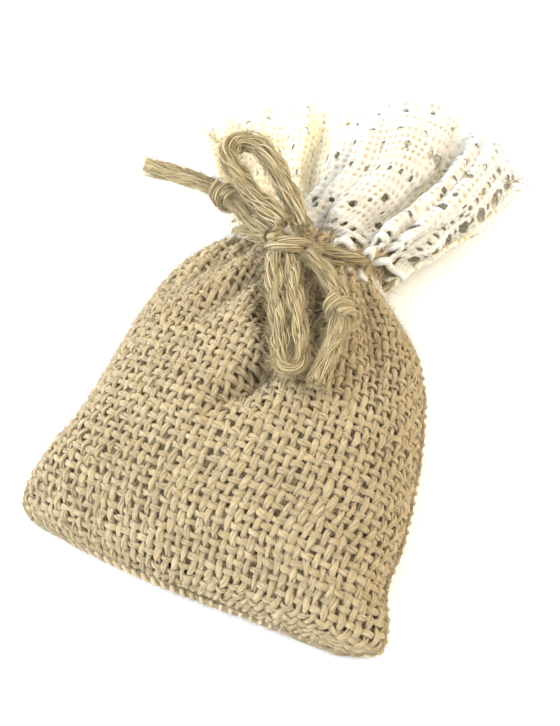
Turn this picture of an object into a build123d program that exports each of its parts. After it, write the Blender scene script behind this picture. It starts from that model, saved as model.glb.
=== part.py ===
from build123d import *
import math
import os

# A stuffed burlap gift pouch lying on its back, with a gathered lace mouth and a twine bow.
# Millimetres. +Z is up, +Y runs from the bottom edge to the mouth, +X runs across the pouch.
# The origin is on the table, under the middle of the pouch and its lace.

# ---- driving dimensions ----
burlap_thickness = 1.2
lace_thickness = 1.0
cord_diameter = 3.0
clearance = 0.3

bottom_y = -64.0            # bottom edge of the burlap
neck_y = 12.0               # where the drawstring pulls the pouch in
seam_z_at_bottom = 2.2      # the side seams climb from the bottom edge to the neck
seam_slope = 0.163
seam_ridge_radius = 0.9
bottom_seam_radius = 1.2

gather_thickness = 1.3      # lace pleats squeezed under the drawstring
stitch_radius = 0.35

knot_centre = Vector(-6.5, 8.0, 25.8)
knot_radius = 3.6
end_knot_radius = 3.0
frayed_root_radius = 1.5
frayed_belly_radius = 1.9
frayed_tip_radius = 0.8

# Body cross-sections: y, centre x, half width, underside z, top z.
body_stations = [
    (bottom_y, 2.6, 36.0, 0.2, 4.2),
    (-61.0, 2.6, 39.0, -0.3, 9.0),
    (-52.0, 2.9, 39.5, -0.5, 18.5),
    (-38.0, 2.4, 37.0, -0.5, 25.5),
    (-20.0, 1.0, 35.5, -0.5, 27.8),
    (-6.0, -1.0, 31.5, -0.5, 26.6),
    (4.0, -3.2, 23.5, 2.5, 24.2),
    (neck_y, -4.5, 16.8, 7.8, 21.4),
    (19.0, -4.5, 15.6, 8.6, 21.0),
]

# Lace cross-sections: centre x and y, turn in plan, half width, edge z, middle z.
front_lace_stations = [
    (1.5, 20.5, 0.0, 12.5, 16.0, 21.5),
    (6.0, 32.0, 8.0, 15.5, 14.5, 23.5),
    (10.5, 45.5, 14.0, 18.0, 13.0, 23.5),
    (12.5, 58.0, 18.0, 19.0, 12.0, 21.5),
]
back_lace_stations = [
    (-3.5, 20.5, 0.0, 13.5, 9.5, 5.5),
    (-6.0, 30.0, 6.0, 22.0, 8.5, 3.6),
    (-8.5, 43.0, 13.0, 31.0, 8.0, 2.4),
    (-10.0, 55.3, 18.0, 34.8, 7.5, 2.0),
]

# Cord routes, centre lines. Each starts beside the bow knot.
neck_route = [
    (-5.6, 9.8, 24.8), (1.5, 10.6, 24.4), (8.5, 12.8, 22.4), (13.8, 16.2, 18.8), (15.8, 18.0, 14.0),
    (13.2, 17.4, 8.6), (6.0, 15.8, 5.2), (-3.5, 15.0, 4.3), (-13.0, 14.8, 5.2), (-21.0, 14.4, 8.4),
    (-24.4, 13.6, 13.6), (-21.8, 12.2, 19.0), (-15.4, 10.8, 22.8), (-8.6, 9.8, 24.6),
]
upper_loop_route = [
    (-5.3, 12.6, 28.3), (-7.9, 16.2, 29.3), (-12.4, 20.9, 30.4), (-17.2, 25.4, 31.2), (-22.0, 28.3, 31.6),
    (-27.0, 27.6, 31.5), (-29.0, 23.3, 31.2), (-26.2, 19.0, 30.8), (-20.6, 15.4, 30.2), (-14.6, 12.6, 30.1),
    (-9.1, 10.7, 29.8),
]
lower_loop_route = [
    (-8.4, 3.4, 27.3), (-6.9, -2.4, 28.6), (-3.7, -9.2, 29.6), (0.2, -16.4, 30.1), (3.0, -23.3, 30.2),
    (6.8, -23.9, 30.2), (9.0, -20.8, 30.2), (5.9, -14.0, 30.1), (2.6, -8.2, 29.8), (-0.8, -2.6, 29.1),
    (-4.2, 3.5, 28.0),
]
left_tail_route = [
    (-11.4, 8.5, 27.4), (-15.6, 10.8, 26.6), (-20.2, 13.8, 25.8), (-25.2, 16.4, 25.0), (-30.2, 18.2, 24.2),
]
right_tail_route = [
    (-1.9, 7.4, 27.1), (2.2, 4.8, 27.9), (7.2, 0.8, 28.4), (11.2, -4.6, 29.0), (12.8, -10.6, 29.6),
]
left_end_knot_centre = (-25.2, 16.2, 24.9)
right_end_knot_centre = (11.2, -5.0, 29.2)
left_frayed_tip = (-47.0, 19.0, 22.6)
right_frayed_tip = (14.2, -25.4, 30.2)


def seam_z(y):
    """Height of the side seams at this distance along the pouch."""
    return seam_z_at_bottom + seam_slope * (y - bottom_y)


def arch(centre_x, half_width, foot_z, rise):
    """Half an ellipse from its right foot to its left one; a negative rise hangs down."""
    sweep_angle = math.copysign(180, rise)
    return EllipticalCenterArc((centre_x, foot_z), half_width, abs(rise), arc_size=sweep_angle)


def crescent(centre_x, half_width, foot_z, rise, thickness):
    """Outline of a thin arched layer, thickness inwards, for a BuildLine context."""
    outer = arch(centre_x, half_width, foot_z, rise)
    inner = arch(centre_x, half_width - thickness, foot_z, rise - math.copysign(thickness, rise))
    Line(outer @ 0, inner @ 0)
    Line(outer @ 1, inner @ 1)


def bend_radii(route):
    """As large an arc at each corner as its two runs allow."""
    radii = []
    for before, corner, after in zip(route, route[1:], route[2:]):
        run_in = Vector(corner) - Vector(before)
        run_out = Vector(after) - Vector(corner)
        turn = math.radians(run_in.get_angle(run_out))
        radii.append(0.45 * min(run_in.length, run_out.length) / math.tan(turn / 2))
    return radii


def report_cord(label, solid, route, path_length):
    """Print a cord's tightest bends and its volume against section times length."""
    section = math.pi * (cord_diameter / 2) ** 2
    radii = ", ".join(f"{radius:.1f}" for radius in bend_radii(route))
    ratio = solid.volume / (section * path_length)
    print(f"{label}: length {path_length:.1f} mm, volume ratio {ratio:.4f}, radii {radii}")


def plane_along(start, end):
    """Plane at the start point, facing the end point."""
    return Plane(origin=start, z_dir=Vector(end) - Vector(start))


def lace_plane(x, y, turn):
    """Upright plane across a lace flap, turned in plan."""
    angle = math.radians(turn)
    return Plane(
        origin=(x, y, 0),
        x_dir=(math.cos(angle), math.sin(angle), 0),
        z_dir=(math.sin(angle), -math.cos(angle), 0),
    )


def save(part, label):
    """Name one finished piece and write it."""
    part.label = label
    export_step(part, f"parts/{label}.step")


os.makedirs("parts", exist_ok=True)

# ---- burlap front panel: the upper half of the stuffed bag ----
with BuildPart() as front_panel:
    for y, centre_x, half_width, underside, top in body_stations:
        with BuildSketch(Plane.XZ.offset(-y)):
            with BuildLine():
                crescent(centre_x, half_width, seam_z(y), top - seam_z(y), burlap_thickness)
            make_face()
    loft()
save(front_panel.part, "front_panel")

# ---- burlap back panel: the lower half, pressed flat where it lies on the table ----
with BuildPart() as back_panel:
    for y, centre_x, half_width, underside, top in body_stations:
        with BuildSketch(Plane.XZ.offset(-y)):
            with BuildLine():
                crescent(centre_x, half_width, seam_z(y), underside - seam_z(y), burlap_thickness)
            make_face()
    loft()
    split(bisect_by=Plane.XY, keep=Keep.TOP)
save(back_panel.part, "back_panel")

# ---- the filling that plumps the bag out and fills its pleated neck, clear of both panels ----
filling_inset = burlap_thickness + clearance
with BuildPart() as filling:
    for y, centre_x, half_width, underside, top in body_stations[1:]:
        foot = seam_z(y)
        width = half_width - filling_inset
        with BuildSketch(Plane.XZ.offset(-y)):
            with BuildLine():
                arch(centre_x, width, foot, top - foot - filling_inset)
                arch(centre_x, width, foot, underside - foot + filling_inset)
            make_face()
    loft()
save(filling.part, "filling")

# ---- turned-in side seams: a ridge up each edge of the bag ----
for side, label in ((-1, "left_side_seam"), (1, "right_side_seam")):
    with BuildPart() as side_seam:
        for y, centre_x, half_width, underside, top in body_stations[1:]:
            ridge_x = centre_x + side * (half_width + seam_ridge_radius / 2)
            with BuildSketch(Plane.XZ.offset(-y)):
                with Locations((ridge_x, seam_z(y))):
                    Circle(seam_ridge_radius)
        loft()
    save(side_seam.part, label)

# ---- bottom seam: the closed lower edge ----
bottom_centre_x = body_stations[0][1]
bottom_half_width = body_stations[0][2]
with BuildPart() as bottom_seam:
    with BuildLine() as bottom_edge:
        ThreePointArc(
            (bottom_centre_x - bottom_half_width, bottom_y + 0.6, seam_z_at_bottom),
            (bottom_centre_x, bottom_y - 0.6, seam_z_at_bottom),
            (bottom_centre_x + bottom_half_width, bottom_y + 0.6, seam_z_at_bottom),
        )
    with BuildSketch(Plane(origin=bottom_edge.line @ 0, z_dir=bottom_edge.line % 0)):
        Circle(bottom_seam_radius)
    sweep()
save(bottom_seam.part, "bottom_seam")

# ---- lace gathers: the pleated header of each lace strip, squeezed round the neck ----
gather_stations = [
    (neck_y - 3.0, -4.3, 20.4, 9.3),
    (neck_y, -4.5, 18.1, 8.1),
    (20.0, -4.5, 17.0, 6.7),
]
for way, label in ((1, "front_lace_gathers"), (-1, "back_lace_gathers")):
    with BuildPart() as gathers:
        for y, centre_x, half_width, rise in gather_stations:
            with BuildSketch(Plane.XZ.offset(-y)):
                with BuildLine():
                    crescent(centre_x, half_width, seam_z(y), way * rise, gather_thickness)
                make_face()
        loft()
    save(gathers.part, label)

# ---- thread that sews the lace to the burlap: short stitches round the neck ----
stitch_y = neck_y - 2.0
stitch_centre = Vector(-4.4, stitch_y, seam_z(stitch_y))
stitch_half_width = 19.5
stitch_half_height = 8.8
stitch_length = 2.4
stitch_count = 18
with BuildPart() as lace_stitching:
    for i in range(stitch_count):
        angle = 2 * math.pi * i / stitch_count
        outward = Vector(stitch_half_width * math.cos(angle), 0, stitch_half_height * math.sin(angle))
        along = Vector(-stitch_half_width * math.sin(angle), 0, stitch_half_height * math.cos(angle))
        along = along.normalized()
        start = stitch_centre + outward - along * (stitch_length / 2)
        with BuildSketch(Plane(origin=start, z_dir=along)):
            Circle(stitch_radius)
        extrude(amount=stitch_length)
save(lace_stitching.part, "lace_stitching")


def build_lace(stations, label):
    """One lace flap: a thin arched sheet that fans out from the neck to its free edge."""
    with BuildPart() as lace:
        for x, y, turn, half_width, edge_z, middle_z in stations:
            with BuildSketch(lace_plane(x, y, turn)):
                with BuildLine():
                    crescent(0, half_width, edge_z, middle_z - edge_z, lace_thickness)
                make_face()
        loft()
    save(lace.part, label)


build_lace(front_lace_stations, "front_lace")
build_lace(back_lace_stations, "back_lace")


def build_cord(route, label):
    """A round cord along straight runs joined by tangent arcs."""
    with BuildPart() as cord:
        with BuildLine() as path:
            FilletPolyline(*route, radius=bend_radii(route))
        with BuildSketch(Plane(origin=path.line @ 0, z_dir=path.line % 0)):
            Circle(cord_diameter / 2)
        sweep()
    save(cord.part, label)
    report_cord(label, cord.part, route, sum(edge.length for edge in path.edges()))


build_cord(neck_route, "drawstring_neck_turn")
build_cord(upper_loop_route, "upper_loop")
build_cord(lower_loop_route, "lower_loop")
build_cord(left_tail_route, "left_tail")
build_cord(right_tail_route, "right_tail")

# ---- bow knot: sits on the neck turn, and every loop and tail leaves from it ----
with BuildPart(Plane(origin=knot_centre)) as bow_knot:
    Sphere(knot_radius)
save(bow_knot.part, "bow_knot")


def build_end_knot(centre, label):
    """Overhand knot tied near the end of a tail."""
    with BuildPart(Plane(origin=centre)) as end_knot:
        Sphere(end_knot_radius)
    save(end_knot.part, label)


build_end_knot(left_end_knot_centre, "left_end_knot")
build_end_knot(right_end_knot_centre, "right_end_knot")


def build_frayed_end(root, tip, label):
    """Loose brush of fibres past the end knot: swells a little and then thins out."""
    length = (Vector(tip) - Vector(root)).length
    profile = [(0.0, frayed_root_radius), (0.35, frayed_belly_radius), (1.0, frayed_tip_radius)]
    plane = plane_along(root, tip)
    with BuildPart() as frayed_end:
        for share, radius in profile:
            with BuildSketch(plane.offset(share * length)):
                Circle(radius)
        loft()
    save(frayed_end.part, label)


build_frayed_end(left_tail_route[-1], left_frayed_tip, "left_frayed_end")
build_frayed_end(right_tail_route[-1], right_frayed_tip, "right_frayed_end")
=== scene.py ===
import math

import bpy
import numpy as np
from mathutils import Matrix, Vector


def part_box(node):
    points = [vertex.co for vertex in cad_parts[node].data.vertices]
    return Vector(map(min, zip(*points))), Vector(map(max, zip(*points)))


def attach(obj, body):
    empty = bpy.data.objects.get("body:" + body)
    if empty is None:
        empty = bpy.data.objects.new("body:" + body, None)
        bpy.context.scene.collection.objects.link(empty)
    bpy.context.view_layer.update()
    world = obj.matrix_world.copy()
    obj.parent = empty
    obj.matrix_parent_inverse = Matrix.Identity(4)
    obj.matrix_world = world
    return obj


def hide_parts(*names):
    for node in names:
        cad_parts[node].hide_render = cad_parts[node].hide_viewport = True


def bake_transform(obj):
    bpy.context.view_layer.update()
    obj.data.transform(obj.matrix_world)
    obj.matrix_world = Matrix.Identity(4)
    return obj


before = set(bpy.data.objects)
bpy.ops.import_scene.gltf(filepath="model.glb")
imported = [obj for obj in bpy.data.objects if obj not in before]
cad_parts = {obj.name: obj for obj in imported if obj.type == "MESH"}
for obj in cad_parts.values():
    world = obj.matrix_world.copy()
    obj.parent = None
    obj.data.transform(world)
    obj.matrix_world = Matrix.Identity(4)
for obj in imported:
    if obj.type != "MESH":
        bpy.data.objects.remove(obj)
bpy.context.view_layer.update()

# A stuffed burlap gift pouch lying on its back: woven from single yarns over its filling, with a gathered
# lace mouth and a bow of hairy jute twine. Metres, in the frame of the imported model.

rng = np.random.default_rng(7)

# ---- driving dimensions ----
camera_azimuth = math.radians(24)
camera_elevation = math.radians(55)
camera_distance = 0.423
camera_aim = Vector((0.00236, -0.01655, 0.02006))

panel_width = 0.098          # flat size of each burlap panel
panel_length = 0.090
yarn_pitch = 0.0022
yarn_half_width = 0.00078
yarn_half_height = 0.00050
weave_height = 0.00042       # how far a yarn rises and dips as it crosses the others
points_per_pitch = 4
bundles_per_yarn = 6
yarn_twist = 0.0085          # length of yarn in one full twist
yarn_bundle_offset = 0.47    # of the yarn's half width, and so is the next
yarn_bundle_radius = 0.46
strand_sides = 4
strand_width = 1.25          # a strand's half width and half height, as shares of its radius
strand_height = 0.8
filling_depth = 0.0019
floor_clearance = 0.001      # the lowest that a middle line of cloth comes

cord_diameter = 0.003
ply_count = 3
bundles_per_ply = 38
ply_twist = 0.026            # length of cord in one full twist
bundle_twist = 0.019
ply_offset = 0.31            # of the cord's diameter, and so are the next two
ply_spread = 0.33
bundle_radii = (0.022, 0.058)
root_bend_length = 0.010
points_per_turn = 24

hairs_per_cord = 2000
cord_hair_length = 0.0042
cord_hair_radius = 0.00004
cloth_hair_radius = 0.00003
hair_steps = 5
hair_curl = 0.5
hair_taper = 0.6

lace_length = 0.046          # from the header to the tips of the scallops
lace_cell = 0.00038
lace_half_thickness = 0.00026
cloth_pitch = 0.00152        # spacing of the lace's clothwork threads
header_width = 0.0064        # rim and big eyelets along the neck edge
scallop_pitch = 0.0064
scallop_depth = 0.0032
front_flat_width = 0.060
back_flat_width = 0.122
lace_bend_length = 0.008     # from the neck point to the second point of each lace bend
lace_clearance = 0.0009      # the lowest that a middle line of lace comes
relief_span = 0.00040        # thread height that takes the lace from its middle colour to its brightest: painted highlight on thread tops, painted shade in the pits

# Cord routes: the CAD model's, moved by a few millimetres where the photo asks for it.
mm = 0.001
neck_route = mm * np.array([
    (-5.6, 9.8, 24.8), (1.0, 10.6, 25.0), (6.2, 12.2, 23.2), (9.0, 17.2, 20.0), (9.8, 22.2, 16.4),
    (12.2, 22.4, 12.6), (11.2, 19.6, 8.6), (5.0, 16.0, 5.2), (-3.5, 15.0, 4.3), (-13.0, 14.8, 5.2),
    (-19.6, 14.6, 8.4), (-22.2, 14.0, 13.6), (-20.4, 12.4, 19.0), (-15.4, 10.8, 22.8),
    (-8.6, 9.8, 24.6),
])
upper_loop_route = mm * np.array([
    (-5.3, 12.6, 28.3), (-8.4, 15.9, 29.3), (-13.0, 20.3, 30.4), (-17.8, 24.7, 31.2),
    (-22.2, 27.7, 31.6), (-27.0, 27.4, 31.5), (-28.6, 23.5, 31.2), (-25.2, 19.8, 30.8),
    (-19.8, 16.3, 30.2), (-14.1, 13.2, 30.1), (-9.1, 10.7, 29.8),
])
lower_loop_route = mm * np.array([
    (-7.8, 3.4, 27.3), (-5.2, -2.6, 28.6), (-1.5, -9.5, 29.6), (2.4, -16.2, 30.1),
    (4.2, -20.6, 30.2), (5.8, -23.3, 30.2), (8.4, -23.3, 30.2), (8.7, -20.2, 30.2),
    (5.8, -14.2, 30.1), (2.2, -7.8, 29.8), (-1.2, -2.4, 29.1), (-4.2, 3.5, 28.0),
])
left_tail_route = mm * np.array([
    (-11.4, 8.5, 27.4), (-15.6, 10.8, 26.6), (-20.2, 13.8, 25.8), (-25.2, 16.4, 25.0),
    (-30.2, 18.2, 24.2), (-38.6, 18.8, 23.4), (-46.2, 19.0, 22.6),
])
right_tail_route = mm * np.array([
    (-1.9, 7.4, 27.1), (2.2, 4.8, 27.9), (7.2, 0.8, 28.4), (11.2, -4.6, 29.0), (12.8, -10.6, 29.6),
    (13.6, -18.0, 29.9), (14.2, -25.0, 30.2),
])

# Body cross-sections: y, left x, right x, underside z, top z. The side seams climb from the bottom edge.
body_sections = np.array([
    (-0.0648, -0.0332, 0.0390, 0.0014, 0.0034),
    (-0.0635, -0.0352, 0.0424, 0.0005, 0.0072),
    (-0.0590, -0.0372, 0.0430, 0.0001, 0.0118),
    (-0.0510, -0.0368, 0.0398, 0.0000, 0.0188),
    (-0.0400, -0.0340, 0.0391, 0.0000, 0.0246),
    (-0.0280, -0.0326, 0.0370, 0.0000, 0.0268),
    (-0.0160, -0.0322, 0.0338, 0.0000, 0.0272),
    (-0.0060, -0.0312, 0.0300, 0.0002, 0.0264),
    (0.0020, -0.0288, 0.0244, 0.0022, 0.0250),
    (0.0080, -0.0252, 0.0170, 0.0056, 0.0234),
    (0.0130, -0.0208, 0.0118, 0.0080, 0.0216),
    (0.0180, -0.0196, 0.0108, 0.0088, 0.0210),
])
seam_z_at_bottom = 0.0022
seam_slope = 0.163

# Lace, row by row from the neck to the free edge, from left to right.
front_lace_rows = mm * np.array([
    [(-20.5, 14.5, 12.5), (-17.5, 14.2, 17.0), (-12.0, 13.8, 20.0), (-7.0, 13.8, 21.4), (-3.0, 14.0, 22.2),
     (2.0, 14.0, 23.2), (7.0, 15.0, 22.8), (11.0, 16.0, 20.6), (13.8, 18.0, 16.6), (14.8, 20.4, 12.8)],
    [(-14.0, 20.0, 13.0), (-11.0, 21.0, 16.5), (-7.0, 21.0, 19.5), (-3.4, 20.8, 22.0), (0.8, 21.5, 20.8),
     (3.4, 22.5, 18.4), (6.4, 24.0, 18.8), (10.2, 24.8, 20.2), (15.0, 24.2, 17.0), (17.4, 23.6, 11.2)],
    [(-11.2, 33.5, 12.0), (-8.0, 33.2, 16.5), (-5.0, 33.0, 20.3), (-2.6, 33.0, 22.6), (3.0, 33.8, 21.8),
     (6.4, 35.2, 17.6), (8.4, 36.5, 15.4), (14.0, 34.5, 18.4), (18.8, 32.5, 15.0), (21.4, 31.4, 8.6)],
    [(-13.5, 45.5, 11.0), (-9.8, 45.5, 15.5), (-6.0, 45.0, 19.6), (-2.8, 44.5, 22.2), (3.8, 47.0, 23.2),
     (9.2, 49.0, 19.4), (12.4, 49.8, 15.0), (17.8, 47.4, 17.8), (23.4, 44.6, 15.0), (26.6, 43.0, 8.6)],
    [(-16.0, 54.8, 10.0), (-12.5, 56.2, 14.0), (-8.8, 57.2, 18.2), (-5.0, 58.5, 21.4), (0.5, 61.8, 21.6),
     (7.0, 64.8, 19.8), (12.5, 65.5, 15.0), (19.0, 64.5, 15.8), (26.4, 60.8, 13.0), (30.4, 56.6, 9.0)],
])
back_lace_rows = mm * np.array([
    [(-21.0, 14.5, 13.0), (-20.5, 15.0, 10.5), (-17.0, 15.3, 8.3), (-12.0, 15.5, 7.2), (-6.0, 15.5, 6.6),
     (0.0, 15.8, 6.6), (5.0, 16.2, 7.0), (9.0, 17.0, 8.0), (11.0, 17.8, 9.3), (12.4, 18.5, 11.5)],
    [(-27.0, 22.0, 12.5), (-25.0, 24.0, 9.0), (-19.5, 25.0, 6.5), (-13.0, 25.5, 6.0), (-6.5, 26.0, 6.5),
     (0.0, 26.5, 6.0), (6.0, 26.5, 5.5), (11.5, 26.0, 5.5), (14.4, 25.5, 7.0), (15.2, 25.2, 11.6)],
    [(-36.5, 32.0, 12.0), (-34.5, 36.0, 7.5), (-28.0, 40.0, 5.0), (-20.0, 42.0, 6.5), (-11.0, 43.0, 5.0),
     (-2.0, 43.5, 6.5), (7.0, 43.0, 4.5), (15.0, 41.5, 4.0), (20.0, 39.0, 5.0), (21.8, 37.6, 10.4)],
    [(-45.6, 42.4, 10.0), (-43.8, 51.0, 6.0), (-35.2, 59.0, 5.0), (-26.2, 62.5, 9.0), (-14.5, 64.5, 6.0),
     (-3.0, 65.5, 9.0), (8.5, 66.2, 5.0), (18.5, 64.5, 4.0), (26.2, 60.6, 4.6), (29.2, 55.2, 11.2)],
])


# ---- camera ----
back_vector = Vector((
    math.cos(camera_elevation) * math.sin(camera_azimuth),
    -math.cos(camera_elevation) * math.cos(camera_azimuth),
    math.sin(camera_elevation),
))
camera = bpy.data.objects.new("camera", bpy.data.cameras.new("camera"))
bpy.context.collection.objects.link(camera)
camera.location = camera_aim + back_vector * camera_distance
camera.rotation_euler = back_vector.to_track_quat("Z", "Y").to_euler()
camera.data.sensor_fit = "VERTICAL"
camera.data.sensor_height = 36
camera.data.lens = 100
bpy.context.scene.camera = camera


# ---- geometry helpers ----
def unit(vectors):
    """The same directions with length 1."""
    return vectors / np.maximum(np.linalg.norm(vectors, axis=-1, keepdims=True), 1e-12)


def smoothstep(values, low, high):
    """0 below low, 1 above high and a smooth climb between."""
    share = np.clip((values - low) / (high - low), 0, 1)
    return share * share * (3 - 2 * share)


def spline(keys, values, where):
    """A smooth curve through values at keys, read at where. Values may have any number of columns."""
    keys = np.asarray(keys, float)
    slopes = np.gradient(values, keys, axis=0)
    low = np.clip(np.searchsorted(keys, where) - 1, 0, len(keys) - 2)
    step = keys[low + 1] - keys[low]
    share = (where - keys[low]) / step
    shape = (-1,) + (1,) * (np.ndim(values) - 1)
    share, step = share.reshape(shape), step.reshape(shape)
    return (
        (1 + 2 * share) * (1 - share) ** 2 * values[low]
        + share * (1 - share) ** 2 * step * slopes[low]
        + share ** 2 * (3 - 2 * share) * values[low + 1]
        + share ** 2 * (share - 1) * step * slopes[low + 1]
    )


def wander(rows, points, knots):
    """Rows of smooth random values between -1 and 1."""
    keys = np.arange(knots)
    values = rng.uniform(-1, 1, (knots, rows))
    return spline(keys, values, np.linspace(0, knots - 1, points)).T


def lumps(points, size, seed):
    """Smooth random values, about -1 to 1, at points in space; size is the width of one lump."""
    random = np.random.default_rng(seed)
    total = np.zeros(points.shape[:-1])
    wave_count = 14
    for _ in range(wave_count):
        direction = unit(random.normal(size=3)) * (2 * math.pi / size) * random.uniform(0.5, 1.1)
        total += np.cos(points @ direction + random.uniform(0, 2 * math.pi))
    return total / math.sqrt(wave_count)


def evenly(grid, axis):
    """The grid with its points spread evenly along each line of that axis."""
    lines = np.moveaxis(grid, axis, 0)
    steps = np.linalg.norm(np.diff(lines, axis=0), axis=-1)
    reach = np.concatenate([np.zeros((1,) + steps.shape[1:]), np.cumsum(steps, axis=0)])
    spread = np.empty_like(lines)
    for column in range(lines.shape[1]):
        wanted = np.linspace(0, reach[-1, column], len(lines))
        for part in range(3):
            spread[:, column, part] = np.interp(wanted, reach[:, column], lines[:, column, part])
    return np.moveaxis(spread, 0, axis)


def grid_normals(grid):
    """Normals of a grid of points, across times along."""
    return unit(np.cross(np.gradient(grid, axis=0), np.gradient(grid, axis=1)))


def lookup(grid, u, v):
    """Read a grid of points or vectors at u across and v along, each from 0 to 1."""
    across = np.clip(u, 0, 1) * (grid.shape[0] - 1)
    along = np.clip(v, 0, 1) * (grid.shape[1] - 1)
    i = np.minimum(across.astype(int), grid.shape[0] - 2)
    j = np.minimum(along.astype(int), grid.shape[1] - 2)
    p = (across - i)[..., None]
    q = (along - j)[..., None]
    return (
        grid[i, j] * (1 - p) * (1 - q) + grid[i + 1, j] * p * (1 - q)
        + grid[i, j + 1] * (1 - p) * q + grid[i + 1, j + 1] * p * q
    )


def new_piece(name, points, quads, uv=None, tint_and_painted_shade=None):
    """A smooth-shaded mesh object. uv and tint are one row or value for each point."""
    mesh = bpy.data.meshes.new(name)
    quads = np.ascontiguousarray(quads, np.int32)
    mesh.vertices.add(len(points))
    mesh.vertices.foreach_set("co", np.ascontiguousarray(points, np.float32).ravel())
    mesh.loops.add(quads.size)
    mesh.loops.foreach_set("vertex_index", quads.ravel())
    mesh.polygons.add(len(quads))
    mesh.polygons.foreach_set("loop_start", np.arange(0, quads.size, 4, dtype=np.int32))
    mesh.update(calc_edges=True)
    mesh.validate()
    mesh.shade_smooth()
    if uv is not None:
        corners = np.empty(len(mesh.loops), np.int32)
        mesh.loops.foreach_get("vertex_index", corners)
        layer = mesh.uv_layers.new(name="UVMap")
        layer.data.foreach_set("uv", np.ascontiguousarray(uv[corners], np.float32).ravel())
    if tint_and_painted_shade is not None:
        layer = mesh.attributes.new("tint_and_painted_shade", "FLOAT", "POINT")
        layer.data.foreach_set("value", np.ascontiguousarray(tint_and_painted_shade, np.float32))
    piece = bpy.data.objects.new(name, mesh)
    bpy.context.collection.objects.link(piece)
    return piece


def tubes(name, paths, normals, half_width, half_height, sides, tint_and_painted_shade):
    """One closed tube along each path. A half size is a value for each point, or broadcasts to that."""
    count, length, _ = paths.shape
    tangents = unit(np.gradient(paths, axis=1))
    sideways = unit(np.cross(tangents, normals))
    upward = np.cross(sideways, tangents)
    angles = 2 * math.pi * np.arange(sides) / sides
    half_width = np.broadcast_to(half_width, (count, length))[..., None, None]
    half_height = np.broadcast_to(half_height, (count, length))[..., None, None]
    rings = (
        paths[:, :, None]
        + half_width * np.cos(angles)[:, None] * sideways[:, :, None]
        + half_height * np.sin(angles)[:, None] * upward[:, :, None]
    )
    index = np.arange(count * length * sides).reshape(count, length, sides)
    after = np.roll(index, -1, axis=2)
    walls = np.stack([index[:, :-1], after[:, :-1], after[:, 1:], index[:, 1:]], axis=-1).reshape(-1, 4)
    caps = []
    for k in range(sides // 2 - 1):
        ring = [k, k + 1, sides - 2 - k, sides - 1 - k]
        caps.append(index[:, 0, ring[::-1]])
        caps.append(index[:, -1, ring])
    reach = np.cumsum(np.linalg.norm(np.diff(paths, axis=1, prepend=paths[:, :1]), axis=-1), axis=1)
    apart = 0.013 * np.arange(count)
    uv = np.stack(np.broadcast_arrays(
        reach[..., None] + apart[:, None, None],
        np.minimum(angles, 2 * math.pi - angles) * cord_diameter / 4,
    ), axis=-1)
    tint_and_painted_shade = np.broadcast_to(np.asarray(tint_and_painted_shade)[:, None, None], (count, length, sides))
    return new_piece(
        name, rings.reshape(-1, 3), np.concatenate([walls] + caps), uv.reshape(-1, 2), tint_and_painted_shade.ravel()
    )


# ---- cords ----
def nurbs_line(name, route):
    """Points along the NURBS line that has the route as its control points."""
    curve = bpy.data.curves.new(name, "CURVE")
    curve.dimensions = "3D"
    curve.resolution_u = 12
    line = curve.splines.new("NURBS")
    line.points.add(len(route) - 1)
    for point, place in zip(line.points, route):
        point.co = (*place, 1.0)
    line.order_u = 3
    line.use_endpoint_u = True
    holder = bpy.data.objects.new(name, curve)
    mesh = bpy.data.meshes.new_from_object(holder)
    points = np.array([vertex.co for vertex in mesh.vertices])
    bpy.data.objects.remove(holder)
    bpy.data.curves.remove(curve)
    bpy.data.meshes.remove(mesh)
    return points


def distances(line):
    """Distance of each point from the line's start."""
    return np.concatenate([[0.0], np.cumsum(np.linalg.norm(np.diff(line, axis=0), axis=1))])


def frames(line):
    """Two directions square to the line at each point, which don't twist along it."""
    tangents = unit(np.gradient(line, axis=0))
    start = np.cross(tangents[0], (0.0, 0.0, 1.0))
    across = [unit(start)]
    for tangent in tangents[1:]:
        across.append(unit(across[-1] - tangent * (across[-1] @ tangent)))
    across = np.array(across)
    return across, np.cross(tangents, across)


def twisted(name, line, diameter, looseness=1.0):
    """A cord of twisted plies, each a handful of fibre bundles, along the line."""
    across, upward = frames(line)
    reach = distances(line)
    ply_radius = ply_offset * diameter
    spread_radius = ply_spread * diameter * looseness
    paths = []
    radii = []
    for ply in range(ply_count):
        ply_angle = 2 * math.pi * (reach / ply_twist + ply / ply_count)
        for bundle in range(bundles_per_ply):
            start = rng.uniform(0, 2 * math.pi)
            own_angle = start - 2 * math.pi * reach / (bundle_twist * rng.uniform(0.7, 2.0))
            drift = wander(1, len(line), max(4, len(line) // 12))[0]
            off_centre = spread_radius * (math.sqrt(rng.uniform(0.1, 1)) + 0.25 * drift)
            x = ply_radius * np.cos(ply_angle) + off_centre * np.cos(own_angle)
            y = ply_radius * np.sin(ply_angle) + off_centre * np.sin(own_angle)
            paths.append(line + x[:, None] * across + y[:, None] * upward)
            swell = 1 + 0.25 * wander(1, len(line), max(4, len(line) // 8))[0]
            radii.append(diameter * rng.uniform(*bundle_radii) * swell)
    paths = np.array(paths)
    radii = np.array(radii)
    normals = unit(paths - line)
    tints = rng.uniform(-1, 1, len(paths))
    return tubes(name, paths, normals, radii * strand_width, radii * strand_height, strand_sides, tints)


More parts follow.
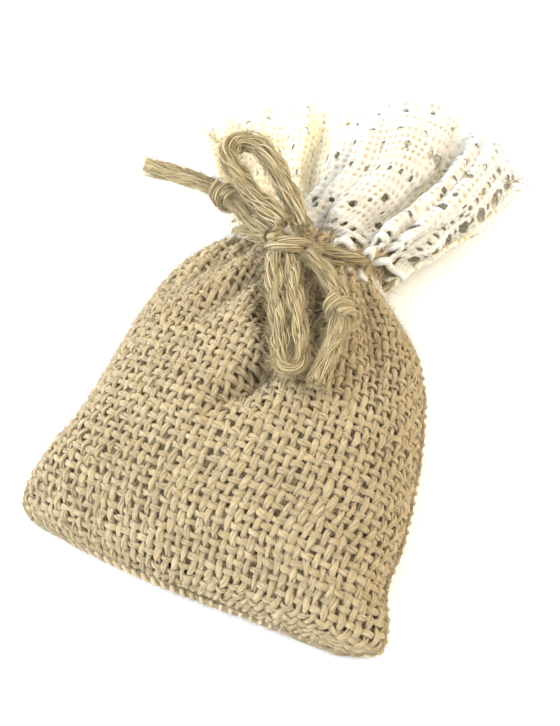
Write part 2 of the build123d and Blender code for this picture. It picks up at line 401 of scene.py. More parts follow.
def hairs(name, roots, outward, along, count, length, radius, lean):
    """Thin loose fibres that leave a surface at random roots; lean is how far they stand up from it."""
    picks = rng.integers(0, len(roots), count)
    steps = np.linspace(0, 1, hair_steps)[None, :, None]
    reach = (length * rng.uniform(0.35, 1.0, count))[:, None, None]
    sideways = np.cross(outward[picks], along[picks])
    way = rng.uniform(-1, 1, (count, 2))
    lying = unit(along[picks] * np.sign(way[:, :1]) + 0.8 * sideways * way[:, 1:])
    rise = (lean * rng.uniform(0.2, 1.0, count))[:, None]
    heading = unit(lying + rise * outward[picks])[:, None]
    curl = rng.normal(0, hair_curl, (count, 1, 3))
    run = steps * heading + (steps ** 2 - 0.25 * steps ** 3) * curl
    paths = roots[picks][:, None] + reach * run
    paths[..., 2] = np.maximum(paths[..., 2], 2 * radius)
    normals = np.broadcast_to(unit(np.cross(heading, rng.normal(size=(count, 1, 3)))), paths.shape)
    thin = radius * (1 - hair_taper * steps[..., 0]) * np.ones((count, 1))
    return tubes(name, paths, normals, thin, thin, strand_sides, rng.uniform(-1, 1, count))


def cord_hairs(name, line, count):
    """Loose fibres along a cord."""
    across, upward = frames(line)
    angles = rng.uniform(0, 2 * math.pi, len(line))[:, None]
    outward = np.cos(angles) * across + np.sin(angles) * upward
    roots = line + 0.42 * cord_diameter * outward
    along = unit(np.gradient(line, axis=0))
    return hairs(name, roots, outward, along, count, cord_hair_length, cord_hair_radius, 0.6)


def finish_piece(piece, material, body, slot, *nodes, bend=None):
    """Gives a piece its material, the CAD body it moves with and the CAD nodes it stands for, which it hides.
    The slot is not used.

    A piece with a bend is given no body: its transform is only baked into its mesh.
    """
    piece.data.materials.append(material)
    if bend is None:
        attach(piece, body)
    else:
        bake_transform(piece)
    if nodes:
        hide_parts(*nodes)
    return piece


# ---- materials ----
class Shade:
    """A procedural material: a principled shader and the nodes that feed it."""

    def __init__(self, name, roughness, sheen):
        self.material = bpy.data.materials.new(name)
        self.material.use_nodes = True
        self.nodes = self.material.node_tree.nodes
        self.shader = self.nodes["Principled BSDF"]
        self.shader.inputs["Roughness"].default_value = roughness
        self.shader.inputs["Sheen Weight"].default_value = sheen
        self.shader.inputs["Sheen Roughness"].default_value = 0.6
        self.shader.inputs["Specular IOR Level"].default_value = 0.25

    def add(self, kind, **values):
        """A node of that kind. Values set its properties, or its input sockets if it has no such property."""
        node = self.nodes.new(kind)
        for key, value in values.items():
            if hasattr(node, key):
                setattr(node, key, value)
            else:
                node.inputs[key.replace("_", " ")].default_value = value
        return node

    def link(self, output, socket):
        """Join an output to an input socket."""
        self.material.node_tree.links.new(output, socket)

    def noise(self, source, scale, detail=3.0):
        """Noise read at scaled coordinates."""
        mapping = self.add("ShaderNodeMapping")
        mapping.inputs["Scale"].default_value = scale
        self.link(source, mapping.inputs["Vector"])
        noise = self.add("ShaderNodeTexNoise", Scale=1.0, Detail=detail, Roughness=0.6)
        self.link(mapping.outputs["Vector"], noise.inputs["Vector"])
        return noise.outputs["Fac"]

    def blend(self, first, second, share):
        """A weighted mean of two values."""
        mix = self.add("ShaderNodeMix", data_type="FLOAT")
        mix.inputs["Factor"].default_value = share
        self.link(first, mix.inputs["A"])
        self.link(second, mix.inputs["B"])
        return mix.outputs["Result"]

    def tint_and_painted_shade(self):
        """The piece's own value, from 0 to 1: a random tint on yarns, and on lace the thread height that sets
        its painted shade and painted highlight.
        """
        attribute = self.add("ShaderNodeAttribute", attribute_name="tint_and_painted_shade")
        spread = self.add("ShaderNodeMapRange")
        spread.inputs["From Min"].default_value = -1.0
        self.link(attribute.outputs["Fac"], spread.inputs["Value"])
        return spread.outputs["Result"]

    def colour(self, value, stops):
        """Base colour from a value, through colour stops of place and colour."""
        ramp = self.add("ShaderNodeValToRGB")
        elements = ramp.color_ramp.elements
        while len(elements) < len(stops):
            elements.new(0.5)
        for element, (place, colour) in zip(elements, stops):
            element.position = place
            element.color = (*colour, 1.0)
        self.link(value, ramp.inputs["Fac"])
        self.link(ramp.outputs["Color"], self.shader.inputs["Base Color"])

    def bump(self, value, strength, depth):
        """Relief from a value."""
        bump = self.add("ShaderNodeBump", Strength=strength, Distance=depth)
        self.link(value, bump.inputs["Height"])
        self.link(bump.outputs["Normal"], self.shader.inputs["Normal"])


def fibre_material(name, stops, fibre_width):
    """Jute or cotton yarn: streaks along each strand, a tint for each strand and slow colour drift."""
    shade = Shade(name, 0.82, 0.25)
    place = shade.add("ShaderNodeTexCoord")
    streak = shade.noise(place.outputs["UV"], (260.0, 1 / fibre_width, 1.0), 4.0)
    grain = shade.noise(place.outputs["Object"], (1900.0, 1900.0, 1900.0), 4.0)
    patch = shade.noise(place.outputs["Object"], (70.0, 70.0, 70.0), 2.0)
    worn = shade.blend(shade.blend(streak, grain, 0.45), patch, 0.3)
    shade.colour(shade.blend(worn, shade.tint_and_painted_shade(), 0.25), stops)
    shade.bump(shade.blend(streak, grain, 0.5), 0.9, 0.0004)
    return shade.material


def lace_material(name, stops):
    """Machine-made cotton lace: fluffy thread, with painted shade in the pits between threads and painted
    highlight on the thread tops, both set by the thread height that each point carries.
    """
    shade = Shade(name, 0.92, 0.35)
    place = shade.add("ShaderNodeTexCoord")
    fluff = shade.noise(place.outputs["UV"], (2200.0, 1500.0, 1.0), 3.0)
    patch = shade.noise(place.outputs["Object"], (110.0, 110.0, 110.0), 2.0)
    uneven = shade.blend(fluff, patch, 0.45)
    shade.colour(shade.blend(shade.tint_and_painted_shade(), uneven, 0.55), stops)
    shade.bump(fluff, 0.9, 0.0005)
    return shade.material


def filling_material():
    """Dried flower filling, brown and uneven, seen through the weave."""
    shade = Shade("dried_filling", 0.95, 0.0)
    place = shade.add("ShaderNodeTexCoord")
    crumbs = shade.noise(place.outputs["Object"], (700.0, 700.0, 700.0), 4.0)
    shade.colour(crumbs, [
        (0.3, (0.25, 0.18, 0.09)), (0.55, (0.46, 0.35, 0.20)), (0.8, (0.58, 0.47, 0.29)),
    ])
    shade.bump(crumbs, 1.0, 0.0008)
    return shade.material


burlap_yarn = fibre_material("burlap_yarn", [
    (0.25, (0.34, 0.245, 0.115)), (0.45, (0.46, 0.35, 0.185)),
    (0.60, (0.54, 0.43, 0.25)), (0.85, (0.66, 0.56, 0.39)),
], 0.00022)
jute_twine = fibre_material("jute_twine", [
    (0.28, (0.24, 0.16, 0.06)), (0.43, (0.45, 0.335, 0.15)),
    (0.58, (0.60, 0.475, 0.245)), (0.8, (0.76, 0.66, 0.43)),
], 0.0002)
sewing_thread = fibre_material("sewing_thread", [
    (0.3, (0.62, 0.52, 0.38)), (0.7, (0.86, 0.79, 0.66)),
], 0.0001)
# In both lace ramps the low stops are painted shade for the pits between threads and the high stops painted
# highlight for the thread tops.
white_lace = lace_material("white_lace", [
    (0.25, (0.38, 0.29, 0.17)), (0.38, (0.54, 0.49, 0.39)),
    (0.52, (0.61, 0.585, 0.52)), (0.75, (0.71, 0.70, 0.65)),
])
# The back lace is a warmer, brighter copy of the same lace: its cream is painted light shining through the
# thin lace.
cream_lace_painted_backlight = lace_material("cream_lace_painted_backlight", [
    (0.25, (0.50, 0.36, 0.18)), (0.38, (0.74, 0.63, 0.40)),
    (0.52, (0.82, 0.75, 0.55)), (0.75, (0.88, 0.84, 0.70)),
])
dried_filling = filling_material()


# ---- cords: neck turn, loops and tails ----
def lay_cord(name, route, body, nodes, looseness, bend=None):
    """One run of the drawstring with its loose fibres."""
    line = nurbs_line(name, route)
    cord = twisted(name, line, cord_diameter, looseness)
    finish_piece(cord, jute_twine, body, "jute_twine", *nodes, bend=bend)
    fuzz = cord_hairs(f"{name}_fibres", line, hairs_per_cord)
    finish_piece(fuzz, jute_twine, body, "jute_twine", bend=bend)


def wound(centre, axis, towards, radius, turns, pitch):
    """Points of a line wound round an axis, starting on the side that faces towards."""
    axis = unit(np.array(axis, float))
    out = np.array(towards, float)
    out = unit(out - axis * (out @ axis))
    side = np.cross(axis, out)
    angle = np.linspace(-math.pi * turns, math.pi * turns, int(points_per_turn * turns))[:, None]
    rise = pitch * angle / (2 * math.pi)
    return np.array(centre) + radius * (np.cos(angle) * out + np.sin(angle) * side) + rise * axis


def node_centre(node):
    """Middle of a CAD node's box."""
    low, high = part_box(node)
    return np.array((low + high) / 2)


def end_knot(node, line, body):
    """Overhand knot: two turns of the tail round itself."""
    centre = node_centre(node)
    near = np.argmin(np.linalg.norm(line - centre, axis=1))
    axis = unit(np.gradient(line, axis=0))[near]
    askew = (0.1, 0.25, 0.0)
    facing = (0.2, -0.5, 0.8)
    turn = wound(line[near], axis + askew, facing, radius=0.0019, turns=2.1, pitch=0.0021)
    pulled_tight = 0.0025
    return finish_piece(twisted(f"{node}_turns", turn, pulled_tight), jute_twine, body, "jute_twine", node)


def frayed_end(node, line, start, body):
    """Untwisted fibres that spread from the end knot to past the cord's end."""
    count = 110
    points = 16
    overhang = 0.0012
    reach = distances(line)
    total = reach[-1]
    across, upward = frames(line)
    begin = start * total
    share = np.linspace(0, 1, points)[None]
    length = (total - begin + overhang) * rng.uniform(0.55, 1.0, (count, 1))
    where = begin + share * length
    angle = rng.uniform(0, 2 * math.pi, (count, 1))
    spread = rng.uniform(0.3, 1.0, (count, 1)) * (0.0011 + 0.0010 * share + 0.0006 * share ** 3)
    angle = angle + 1.2 * share + 0.4 * wander(count, points, 5)
    past = np.maximum(where - total, 0)[..., None]
    heading = unit(line[-1] - line[-4])
    paths = np.stack([np.interp(where, reach, line[:, k]) for k in range(3)], axis=-1) + past * heading
    for direction, amount in ((across, np.cos(angle)), (upward, np.sin(angle))):
        square = np.stack([np.interp(where, reach, direction[:, k]) for k in range(3)], axis=-1)
        paths += (spread * amount)[..., None] * square
    thin = rng.uniform(0.00010, 0.00019, (count, 1)) * (1 - 0.55 * share ** 2)
    normals = np.broadcast_to(np.array((0.0, 0.0, 1.0)), paths.shape)
    brush = tubes(
        f"{node}_fibres", paths, normals, thin * 1.3, thin, strand_sides, rng.uniform(-1, 1, count)
    )
    return finish_piece(brush, jute_twine, body, "jute_twine", node)


def root_bend(roots, tip):
    """Two points, at a run of cord's roots in the knot and towards its tip."""
    root = np.mean(roots, axis=0)
    return tuple(root), tuple(root + root_bend_length * unit(np.array(tip) - root))


lay_cord("neck_turn_cord", neck_route, "pouch", ["drawstring_neck_turn"], 1.1)
for name, route, looseness in (("upper", upper_loop_route, 1.5), ("lower", lower_loop_route, 1.15)):
    lay_cord(
        f"{name}_loop_cord", route, f"{name}_bow_loop", [f"{name}_loop"], looseness,
        bend=root_bend([route[0], route[-1]], route[len(route) // 2]),
    )
for side, route, body, fray_start in (
    ("left", left_tail_route, "left_bow_tail", 0.42),
    ("right", right_tail_route, "right_bow_tail", 0.50),
):
    tail_line = nurbs_line(f"{side}_tail_line", route)
    ends = [
        end_knot(f"{side}_end_knot", tail_line, body),
        frayed_end(f"{side}_frayed_end", tail_line, fray_start, body),
    ]
    bend = root_bend([route[0]], route[3])
    lay_cord(f"{side}_tail_cord", route, body, [f"{side}_tail"], 1.2, bend)

# ---- bow knot: two turns round the roots of the loops ----
knot_centre = node_centre("bow_knot")
knot_line = wound(
    knot_centre + (0, 0, 0.0005), axis=(-0.2, 0.75, 0.45), towards=(0.25, -0.45, 0.85),
    radius=0.0035, turns=1.75, pitch=0.0024,
)
finish_piece(twisted("bow_knot_turns", knot_line, 0.0028), jute_twine, "pouch", "jute_twine", "bow_knot")
finish_piece(cord_hairs("bow_knot_fibres", knot_line, 260), jute_twine, "pouch", "jute_twine")


# ---- ends of the turned-in burlap header, knotted at each side of the neck ----
for name, centre, axis in (
    ("left_neck_lump", (-0.0212, 0.0156, 0.0140), (-0.8, 0.5, 0.2)),
    ("right_neck_lump", (0.0106, 0.0134, 0.0142), (0.8, 0.4, -0.2)),
):
    lump_line = wound(centre, axis, towards=(0.0, -0.4, 0.9), radius=0.0013, turns=1.6, pitch=0.0016)
    yarn_thickness = 0.0017
    finish_piece(twisted(name, lump_line, yarn_thickness), burlap_yarn, "pouch", "burlap")


# ---- burlap panels ----
def seam_height(y):
    """Height of the side seams at this distance along the pouch."""
    return seam_z_at_bottom + seam_slope * (y - body_sections[0, 0])


# Creases pressed into the front panel: points along each one, then its depth and half width.
front_creases = [
    ([(-0.0075, 0.0020), (-0.0035, -0.0080), (0.0030, -0.0170), (0.0010, -0.0262), (-0.0050, -0.0360)],
     0.0074, 0.0034),
    ([(0.0030, 0.0040), (0.0058, -0.0060), (0.0100, -0.0145), (0.0132, -0.0215)], 0.0060, 0.0030),
    ([(-0.0080, 0.0060), (-0.0130, -0.0060), (-0.0190, -0.0180)], 0.0032, 0.0030),
    ([(0.0080, 0.0080), (0.0180, -0.0040), (0.0260, -0.0160)], 0.0026, 0.0030),
    ([(-0.0120, 0.0090), (-0.0220, 0.0000), (-0.0280, -0.0120)], 0.0026, 0.0028),
]
surface_points_across = 241
surface_points_along = 221
front_fullness = 0.86        # below 1, a panel's cross-section is fuller than an ellipse
back_fullness = 0.5
left_corner_lift = 0.0027
right_corner_lift = 0.0014
pleat_count = 11
pleat_depth = 0.0013


def press_creases(points, creases):
    """How deep each surface point is pressed in by the creases."""
    depth = np.zeros(points.shape[:2])
    for route, most, width in creases:
        keys = np.linspace(0, 1, len(route))
        steps = np.linspace(0, 1, 26)
        line = spline(keys, np.array(route), steps)
        strength = most * np.sin(math.pi * (0.12 + 0.88 * steps)) ** 0.7
        gap = np.linalg.norm(points[:, :, None, :2] - line, axis=-1)
        depth = np.maximum(depth, (strength * np.exp(-((gap / width) ** 2))).max(axis=-1))
    return depth


def panel_surface(way):
    """One burlap panel, from the left seam to the right and from the bottom to the neck.

    way is 1 in front and -1 behind.
    """
    y = np.linspace(body_sections[0, 0], body_sections[-1, 0], surface_points_along)
    _, left, right, under, top = spline(body_sections[:, 0], body_sections, y).T
    angle = np.linspace(math.pi, 0, surface_points_across)[:, None]
    seam = seam_height(y)
    rise = top - seam if way == 1 else np.minimum(under + 0.0009 - seam, -0.0004)
    fullness = front_fullness if way == 1 else back_fullness
    grid = np.stack(np.broadcast_arrays(
        (left + right) / 2 + (right - left) / 2 * np.cos(angle),
        y,
        seam + rise * np.abs(np.sin(angle)) ** fullness,
    ), axis=-1).copy()
    across = np.linspace(0, 1, surface_points_across)[:, None]
    lift = right_corner_lift * smoothstep(across, 0.85, 1.0)
    lift = lift + left_corner_lift * smoothstep(-across, -0.42, 0.0)
    near_bottom = 1 - smoothstep(y, body_sections[0, 0], -0.034)
    grid[..., 1] += lift * near_bottom
    for _ in range(2):
        grid = evenly(evenly(grid, 0), 1)
    along = np.linspace(0, 1, surface_points_along)
    phase = 0.6 * spline([0, 0.3, 0.5, 0.8, 1], np.array([0.0, 1.3, -0.6, 0.9, 0.0]), across[:, 0])[:, None]
    pleats = np.cos(2 * math.pi * (pleat_count * across + phase))
    inside = np.sin(math.pi * across) ** 0.4
    push = pleat_depth * pleats * smoothstep(along, 0.66, 0.98) * inside
    push = push + 0.0005 * lumps(grid, 0.03, 3) * inside * smoothstep(along, 0, 0.1)
    if way == 1:
        push = push - press_creases(grid, front_creases)
    grid = grid + grid_normals(grid) * push[..., None]
    grid[..., 2] = np.maximum(grid[..., 2], floor_clearance)
    return grid


def spun(name, paths, normals, half_width, half_height, tints):
    """Yarns spun from a few fibre bundles that turn round each yarn's path."""
    tangents = unit(np.gradient(paths, axis=1))
    sideways = unit(np.cross(tangents, normals))
    steps = np.linalg.norm(np.diff(paths, axis=1, prepend=paths[:, :1]), axis=-1)
    reach = np.cumsum(steps, axis=1)
    count, length = reach.shape
    strands = []
    for bundle in range(bundles_per_yarn):
        angle = 2 * math.pi * (bundle / bundles_per_yarn - reach / yarn_twist) + rng.uniform(0, 6, (count, 1))
        angle = angle + 0.9 * wander(count, length, 36)
        off_centre = yarn_bundle_offset + 0.14 * wander(count, length, 50)
        strands.append(
            paths
            + (off_centre * half_width * np.cos(angle))[..., None] * sideways
            + (off_centre * half_height * np.sin(angle))[..., None] * normals
        )
    strands = np.concatenate(strands)
    normals = np.concatenate([normals] * bundles_per_yarn)
    wide = np.concatenate([half_width] * bundles_per_yarn)
    thin = yarn_bundle_radius * (1 + 0.22 * wander(len(strands), length, 60))
    tint_and_painted_shade = np.concatenate([0.5 * tints + 0.25 * rng.uniform(-1, 1, count) for _ in range(bundles_per_yarn)])
    return tubes(name, strands, normals, wide * thin, wide * thin * strand_height, strand_sides, tint_and_painted_shade)


def weave(grid, name, along_warp):
    """The yarns of one panel that run one way, over and under the others, in two pieces by turns."""
    warp_count = round(panel_width / yarn_pitch)
    weft_count = round(panel_length / yarn_pitch)
    count, crossed = (warp_count, weft_count) if along_warp else (weft_count, warp_count)
    points = points_per_pitch * crossed + 1
    run = np.linspace(0, 1, points)
    number = np.arange(count)[:, None]
    place = (number + 0.5 + 0.16 * wander(count, points, 9) + 0.08 * wander(count, points, 30)) / count
    crossing = np.cos(math.pi * (run * crossed - 0.5 + number))
    rise = weave_height * crossing * (1 if along_warp else -1)
    u, v = (place, np.broadcast_to(run, place.shape))
    if not along_warp:
        u, v = v, u
    normals = unit(lookup(grid_normals(grid), u, v))
    paths = lookup(grid, u, v) + normals * (rise + 0.00010 * wander(count, points, 40))[..., None]
    slub = 1 + 0.20 * wander(count, points, 20) + 0.12 * rng.uniform(-1, 1, (count, 1))
    tints = rng.uniform(-1, 1, count)
    pieces = []
    for first in range(2):
        own = slice(first, None, 2)
        pieces.append(spun(
            f"{name}_{first + 1}", paths[own], normals[own], yarn_half_width * slub[own],
            yarn_half_height * slub[own], tints[own],
        ))
    return pieces


def surface_hairs(name, grid, side, count, length, lean):
    """Loose fibres on the burlap."""
    spots = (slice(2, -2, 3), slice(2, -2, 3))
    outward = side * grid_normals(grid)[spots]
    along = unit(np.gradient(grid, axis=1))[spots]
    roots = (grid[spots] + 0.0008 * outward).reshape(-1, 3)
    return hairs(
        name, roots, outward.reshape(-1, 3), along.reshape(-1, 3), count, length, cloth_hair_radius, lean
    )


front_surface = panel_surface(1)
back_surface = panel_surface(-1)
for label, grid, side, hair_count in (
    ("front", front_surface, 1, 5400),
    ("back", back_surface, -1, 2400),
):
    yarns = weave(grid, f"{label}_warp", True) + weave(grid, f"{label}_weft", False)
    fuzz = [
        surface_hairs(f"{label}_burlap_fibres_{layer}", grid, side, hair_count, length, lean)
        for layer, length, lean in ((1, 0.0030, 0.45), (2, 0.0024, 0.15), (3, 0.0016, 0.9))
    ]
    for piece in (*yarns, *fuzz):
        finish_piece(piece, burlap_yarn, "pouch", "burlap")
    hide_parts(f"{label}_panel")


# ---- filling ----
def build_filling():
    """A closed lumpy mass just inside both panels."""
    inner = (slice(4, -4, 4), slice(6, -6, 4))
    front = (front_surface - grid_normals(front_surface) * filling_depth)[inner]
    back = (back_surface + grid_normals(back_surface) * filling_depth * 0.8)[inner]
    back[..., 2] = np.minimum(back[..., 2], front[..., 2] - 0.0004)
    across_count, along_count = front.shape[:2]
    points = np.concatenate([front, back])
    points = points + (0.0005 * lumps(points, 0.006, 5))[..., None] * (0, 0, 1)
    index = np.arange(2 * across_count * along_count).reshape(2, across_count, along_count)
    upper, lower = index

    def between(a, b):
        return np.stack([a[:-1], a[1:], b[1:], b[:-1]], axis=-1).reshape(-1, 4)

    quads = [
        np.stack([upper[:-1, :-1], upper[1:, :-1], upper[1:, 1:], upper[:-1, 1:]], axis=-1).reshape(-1, 4),
        np.stack([lower[:-1, :-1], lower[:-1, 1:], lower[1:, 1:], lower[1:, :-1]], axis=-1).reshape(-1, 4),
        between(upper[0], lower[0])[:, ::-1],
        between(upper[-1], lower[-1]),
        between(upper[:, 0], lower[:, 0]),
        between(upper[:, -1], lower[:, -1])[:, ::-1],
    ]
    piece = new_piece("filling_mass", points.reshape(-1, 3), np.concatenate(quads)[:, ::-1])
    finish_piece(piece, dried_filling, "pouch", "dried_filling", "filling")


build_filling()


# ---- seams ----
seam_step = 3
seam_thread_radius = 0.0005


def overcast(name, line, outward, radius, pitch, thickness):
    """Stitches that wrap over an edge, one at each pitch along the line."""
    reach = distances(line)
    count = int(reach[-1] / pitch)
    where = (np.arange(count) + 0.5) * pitch
    centre = np.stack([np.interp(where, reach, line[:, k]) for k in range(3)], axis=-1)
    tangents = unit(np.gradient(line, axis=0))
    along = np.stack([np.interp(where, reach, tangents[:, k]) for k in range(3)], axis=-1)
    out = np.stack([np.interp(where, reach, outward[:, k]) for k in range(3)], axis=-1)
    side = np.cross(along, out)
    angle = np.linspace(-1.9, 1.9, 11)[None, :, None]
    paths = (
        centre[:, None] + radius * (np.cos(angle) * out[:, None] + np.sin(angle) * side[:, None])
        + 0.22 * pitch * angle * along[:, None]
    )
    normals = unit(paths - centre[:, None])
    return tubes(name, paths, normals, thickness, thickness, 6, rng.uniform(-1, 1, count))


def build_seam(name, line, outward, roll_diameter, node):
    """A turned-in edge: a soft roll of yarns, sewn over with one of them."""
    line = line + 0.0002 * outward
    lowest = 0.0014
    line[:, 2] = np.maximum(line[:, 2], lowest)
    finish_piece(twisted(f"{name}_roll", line, roll_diameter, 1.1), burlap_yarn, "pouch", "burlap", node)
    stitch_radius = 0.62 * roll_diameter
    stitches = overcast(f"{name}_stitches", line, outward, stitch_radius, yarn_pitch, seam_thread_radius)
    finish_piece(stitches, burlap_yarn, "pouch", "burlap")
    along = unit(np.gradient(line, axis=0))
    roots = line + 0.0009 * outward
    fuzz = hairs(f"{name}_fibres", roots, outward, along, 520, 0.0030, cloth_hair_radius, 0.6)
    finish_piece(fuzz, burlap_yarn, "pouch", "burlap")


across_out = unit(np.gradient(front_surface, axis=0))
build_seam(
    "left_seam", front_surface[0, ::seam_step], -across_out[0, ::seam_step], 0.0018, "left_side_seam"
)
build_seam(
    "right_seam", front_surface[-1, ::seam_step], across_out[-1, ::seam_step], 0.0020, "right_side_seam"
)
bottom_line = (front_surface[::seam_step, 0] + back_surface[::seam_step, 0]) / 2
bottom_out = -unit(np.gradient(front_surface, axis=1))[::seam_step, 0] * (1, 1, 0.3)
build_seam("bottom_seam_edge", bottom_line, unit(bottom_out), 0.0016, "bottom_seam")


# ---- lace ----
def oval(s, t, pitch, shift, centre, half_width, half_length):
    """Signed distance, positive outside, from a row of oval holes along the strip."""
    ds = (s - shift * pitch + pitch / 2) % pitch - pitch / 2
    size = np.hypot(ds / half_width, (t - centre) / half_length)
    return (size - 1) * min(half_width, half_length)


# Rows of oval holes: pitch, shift in pitches, distance from the edge, half width and half length.
header_holes = [
    (0.0055, 0.5, 0.0042, 0.0015, 0.0019),
    (0.0055, 0.0, 0.0046, 0.0005, 0.0009),
    (0.00275, 0.0, 0.0086, 0.00055, 0.0008),
]
zigzag_holes = [
    (0.0110, 0.0, 0.0140, 0.0010, 0.0011),
    (0.0110, 0.5, 0.0190, 0.0010, 0.0011),
    (0.0110, 0.25, 0.0165, 0.0005, 0.0006),
    (0.0110, 0.75, 0.0165, 0.0005, 0.0006),
]
fan_holes = [
    (0.0032, 0.5, 0.0262, 0.0005, 0.0008),
    (scallop_pitch, 0.0, 0.0330, 0.0005, 0.0013),
    (scallop_pitch, 0.5, 0.0372, 0.0006, 0.0008),
    (scallop_pitch, 0.5, lace_length - 0.0034, 0.0006, 0.0007),
]
side_hole = (0.29, 0.0330, 0.0022, 0.0014)

# Braids along the strip: distance from the edge, then height. The first three follow the header.
braids = [(0.0010, 0.00070), (0.0070, 0.0004), (0.0104, 0.0004), (0.0222, 0.0003), (0.0392, 0.0003)]
braid_half_width = 0.0006
header_reach = 0.012


def header_places(s, t, width, side_header):
    """Places along and from the header, which a strip with a turned-up end has along its right side too."""
    turned = side_header & (width - s < t)
    return np.where(turned, t, s), np.where(turned, width - s, t)


def lace_outline(s, t, width, side_header):
    """Where the strip has thread: positive on it, negative in its holes and past its edges."""
    along, depth = header_places(s, t, width, side_header)
    thread = np.full(s.shape, 1.0)
    for hole_row in header_holes:
        thread = np.minimum(thread, oval(along, depth, *hole_row))
    thread = np.where(side_header & (np.maximum(width - s, t) < header_width), 1.0, thread)
    for hole_row in zigzag_holes:
        thread = np.minimum(thread, oval(along, depth, *hole_row))
    for hole_row in fan_holes:
        thread = np.minimum(thread, oval(s, t, *hole_row))
    beyond = 2 * abs((s / scallop_pitch) % 1 - 0.5)
    knobs = 0.0003 * np.cos(2 * math.pi * s / (scallop_pitch / 4))
    edge = lace_length - scallop_depth * beyond ** 2.2 + knobs
    thread = np.minimum(thread, edge - t)
    if side_header:
        thread = np.minimum(thread, oval(s, t, 2 * width, *side_hole))
    return np.minimum(thread, np.minimum(np.minimum(s, width - s), t))


def lace_relief(s, t, width, side_header):
    """How far the threads stand up: braids along the header, pitted clothwork and a corded rim."""
    along, depth = header_places(s, t, width, side_header)
    flat_points = np.stack([s, t, 0 * s], axis=-1)
    drift = 0.0004 * lumps(flat_points, 0.007, 31)
    ribs = np.cos(2 * math.pi * (s + drift) / cloth_pitch)
    rows = np.cos(2 * math.pi * (t - drift) / (1.25 * cloth_pitch))
    unevenness = 1 + 0.4 * lumps(flat_points, 0.0035, 37)
    relief = 0.00030 * np.maximum(ribs, rows) * unevenness
    for place, most in braids:
        level = depth if place < header_reach else t
        rope = np.exp(-(((level - place) / braid_half_width) ** 2))
        relief += most * rope * (1 + 0.45 * np.cos(2 * math.pi * along / cloth_pitch))
    picots = smoothstep(t, 0.0405, 0.0420)
    return relief + 0.00045 * picots * (1 + 0.7 * np.cos(2 * math.pi * s / (scallop_pitch / 4)))


def lace_surface(rows, flat_width, pleats, seed):
    """A dense grid through the given rows, ruffled to take up the strip's flat width."""
    across_count, along_count = 321, 141
    deepest_ruffle = 0.0016
    keys = np.linspace(0, 1, rows.shape[1])
    steps = np.linspace(0, 1, across_count)
    lines = np.array([spline(keys, row, steps) for row in rows])
    grid = spline(np.linspace(0, 1, len(rows)), lines, np.linspace(0, 1, along_count)).transpose(1, 0, 2)
    for _ in range(2):
        grid = evenly(evenly(grid, 0), 1)
    run = np.linalg.norm(np.diff(grid, axis=0), axis=-1).sum(axis=0)
    excess = np.sqrt(2 * (np.maximum(flat_width / run, 1.0) ** 2 - 1))
    depth = np.minimum(excess * run / pleats / (2 * math.pi), deepest_ruffle)
    random = np.random.default_rng(seed)
    drift = 0.5 * spline(np.arange(7), random.uniform(-1, 1, 7), 6 * steps)[:, None]
    twist = 0.35 * spline(np.arange(5), random.uniform(-1, 1, 5), 4 * np.linspace(0, 1, along_count))
    wave = np.sin(2 * math.pi * (pleats * steps[:, None] + drift + twist))
    uneven = 1 + 0.35 * lumps(grid, 0.02, seed)
    grid = grid + grid_normals(grid) * (depth * wave * uneven)[..., None]
    grid = grid + grid_normals(grid) * (0.0004 * lumps(grid, 0.008, seed + 1))[..., None]
    grid[..., 2] = np.maximum(grid[..., 2], lace_clearance)
    return grid


def lace_strip(name, grid, flat_width, side_header=False, stop=lace_length):
    """The pattern cut from a fine net of quads on a surface, its hole edges pulled onto the outline."""
    across_count = int(flat_width / lace_cell)
    along_count = int(stop / lace_cell)
    s, t = np.meshgrid(
        np.linspace(0, flat_width, across_count), np.linspace(0, stop, along_count), indexing="ij"
    )

    def outline(s, t):
        return lace_outline(s, t, flat_width, side_header)

    probe = 0.00005
    value = outline(s, t)
    kept = (value[:-1, :-1] + value[1:, :-1] + value[1:, 1:] + value[:-1, 1:]) / 4 > -0.00004
    for _ in range(2):
        value = outline(s, t)
        slope_s = (outline(s + probe, t) - outline(s - probe, t)) / (2 * probe)
        slope_t = (outline(s, t + probe) - outline(s, t - probe)) / (2 * probe)
        outside = np.minimum(value, 0) / np.maximum(slope_s ** 2 + slope_t ** 2, 0.3)
        s = s - np.clip(outside * slope_s, -lace_cell, lace_cell)
        t = t - np.clip(outside * slope_t, -lace_cell, lace_cell)
    index = np.arange(s.size).reshape(s.shape)
    quads = np.stack([index[:-1, :-1], index[1:, :-1], index[1:, 1:], index[:-1, 1:]], axis=-1)[kept]
    used, quads = np.unique(quads, return_inverse=True)
    quads = quads.reshape(-1, 4)
    s, t = s.ravel()[used], t.ravel()[used]
    u, v = s / flat_width, t / stop
    normals = unit(lookup(grid_normals(grid), u, v))
    middle = lookup(grid, u, v)
    relief = lace_relief(s, t, flat_width, side_header)
    half = lace_half_thickness + 0.5 * np.maximum(relief, -0.0003)
    top = middle + normals * half[:, None]
    bottom = middle - normals * half[:, None]
    edges = np.stack([quads, np.roll(quads, -1, axis=1)], axis=-1).reshape(-1, 2)
    ordered = np.sort(edges, axis=1)
    _, first, uses = np.unique(ordered, axis=0, return_index=True, return_counts=True)
    rim = edges[first[uses == 1]]
    size = len(s)
    walls = np.stack([rim[:, 1], rim[:, 0], rim[:, 0] + size, rim[:, 1] + size], axis=-1)
    uv = np.stack([s, t], axis=-1)
    # The thread height also sets the colour: painted shade in the pits, painted highlight on the thread tops.
    return new_piece(
        name, np.concatenate([top, bottom]), np.concatenate([quads, quads[:, ::-1] + size, walls]),
        np.concatenate([uv, uv]), np.concatenate([relief, relief]) / relief_span - 0.4,
    )


def lace_threads(name, grid, count, length):
    """Loose threads along the free edge of the lace."""
    near_edge = (slice(4, -4), slice(-10, -2))
    rim = grid[near_edge]
    outward = grid_normals(grid)[near_edge]
    along = unit(np.gradient(grid, axis=1))[near_edge]
    return hairs(
        name, rim.reshape(-1, 3), outward.reshape(-1, 3), along.reshape(-1, 3), count, length,
        radius=0.00007, lean=0.5,
    )


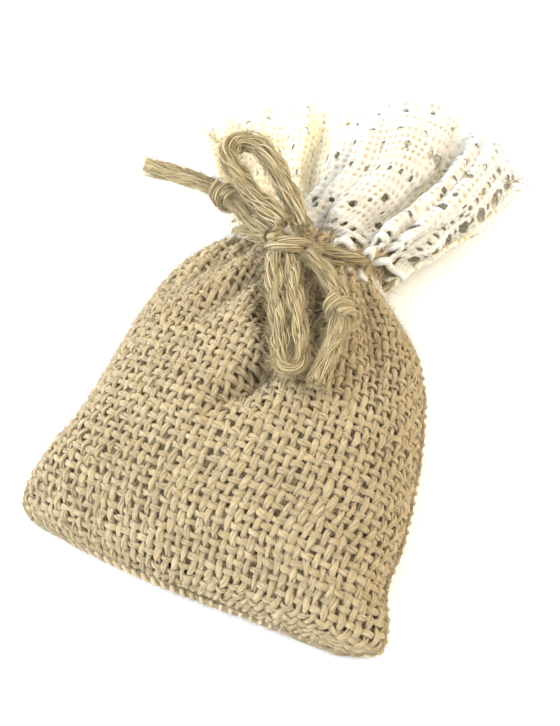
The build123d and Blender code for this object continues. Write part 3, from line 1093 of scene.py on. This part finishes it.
def jute_wisp():
    """A few jute fibres caught in the right end of the lace."""
    root = np.array([(0.0285, 0.0570, 0.0118)])
    along = unit(np.array([(0.85, 0.52, 0.05)]))
    upward = np.array([(0.0, -0.3, 0.95)])
    return hairs("lace_wisp", root, upward, along, count=26, length=0.0085, radius=0.00009, lean=0.3)


for side, rows, flat_width, pleats, seed, material, neck_point in (
    ("front", front_lace_rows, front_flat_width, 5, 11, white_lace, (0.0, 0.016, 0.018)),
    ("back", back_lace_rows, back_flat_width, 11, 23, cream_lace_painted_backlight, (-0.004, 0.016, 0.007)),
):
    surface = lace_surface(rows, flat_width, pleats, seed)
    strip = lace_strip(f"{side}_lace_ruffle", surface, flat_width, side == "front")
    threads = lace_threads(f"{side}_lace_threads", surface, 150, 0.004)
    bend = (neck_point, (neck_point[0], neck_point[1] + lace_bend_length, neck_point[2]))
    finish_piece(strip, material, f"{side}_lace_flap", "cotton_lace", f"{side}_lace", bend=bend)
    finish_piece(threads, material, f"{side}_lace_flap", "cotton_lace", bend=bend)


finish_piece(jute_wisp(), jute_twine, "back_lace_flap", "jute_twine")


# ---- lace gathers and the thread that sews the lace to the burlap ----
def gather_surface(way):
    """The header of one lace strip, pleated round the neck below the cord."""
    y = np.linspace(0.0100, 0.0138, 31)
    _, left, right, under, top = spline(body_sections[:, 0], body_sections, y).T
    across = np.linspace(0, 1, surface_points_across)[:, None]
    angle = math.pi * (1 - across)
    seam = seam_height(y)
    rise = (top if way == 1 else under) - seam + way * 0.0004
    half_width = (right - left) / 2 + 0.0006
    grid = np.stack(np.broadcast_arrays(
        (left + right) / 2 + half_width * np.cos(angle), y, seam + rise * np.sin(angle),
    ), axis=-1).copy()
    pleats = np.cos(2 * math.pi * 13 * across)
    return grid + way * grid_normals(grid) * (0.0006 * pleats)[..., None]


for side, way in (("front", 1), ("back", -1)):
    surface = gather_surface(way)
    band = lace_strip(f"{side}_lace_header", surface, front_flat_width, stop=0.0022)
    material = white_lace if way == 1 else cream_lace_painted_backlight
    finish_piece(band, material, "pouch", "cotton_lace", f"{side}_lace_gathers")
    middle = surface.shape[1] // 2
    outward = way * grid_normals(surface)[:, middle]
    stitches = overcast(
        f"{side}_lace_stitches", surface[:, middle], outward, radius=0.0009, pitch=0.0019, thickness=0.00016
    )
    finish_piece(stitches, sewing_thread, "pouch", "sewing_thread", "lace_stitching")


# ---- floor, light and background ----
def plain_floor():
    """A pale floor that fades into the background."""
    size = 3.0
    corners = np.array([(-size, -size, 0), (size, -size, 0), (size, size, 0), (-size, size, 0)])
    floor = new_piece("floor", corners, np.array([[0, 1, 2, 3]]))
    shade = Shade("floor_white", 0.9, 0.0)
    shade.shader.inputs["Base Color"].default_value = (0.96, 0.965, 0.98, 1)
    floor.data.materials.append(shade.material)


def soft_light(name, place, size, power, colour):
    """A square soft box that faces the pouch."""
    lamp = bpy.data.lights.new(name, "AREA")
    lamp.size = size
    lamp.energy = power
    lamp.color = colour
    holder = bpy.data.objects.new(name, lamp)
    bpy.context.collection.objects.link(holder)
    holder.location = place
    holder.rotation_euler = Vector(place).to_track_quat("Z", "Y").to_euler()


plain_floor()
soft_light("key", (0.60, 0.30, 0.70), 0.7, 7.5, (1.0, 0.84, 0.56))
soft_light("fill", (-0.75, -0.45, 0.50), 1.0, 21.0, (0.78, 0.88, 1.0))
world = bpy.data.worlds.new("studio")
world.use_nodes = True
world.node_tree.nodes["Background"].inputs["Color"].default_value = (1.0, 1.0, 1.0, 1.0)
world.node_tree.nodes["Background"].inputs["Strength"].default_value = 1.1
bpy.context.scene.world = world
bpy.context.scene.view_settings.view_transform = "Standard"
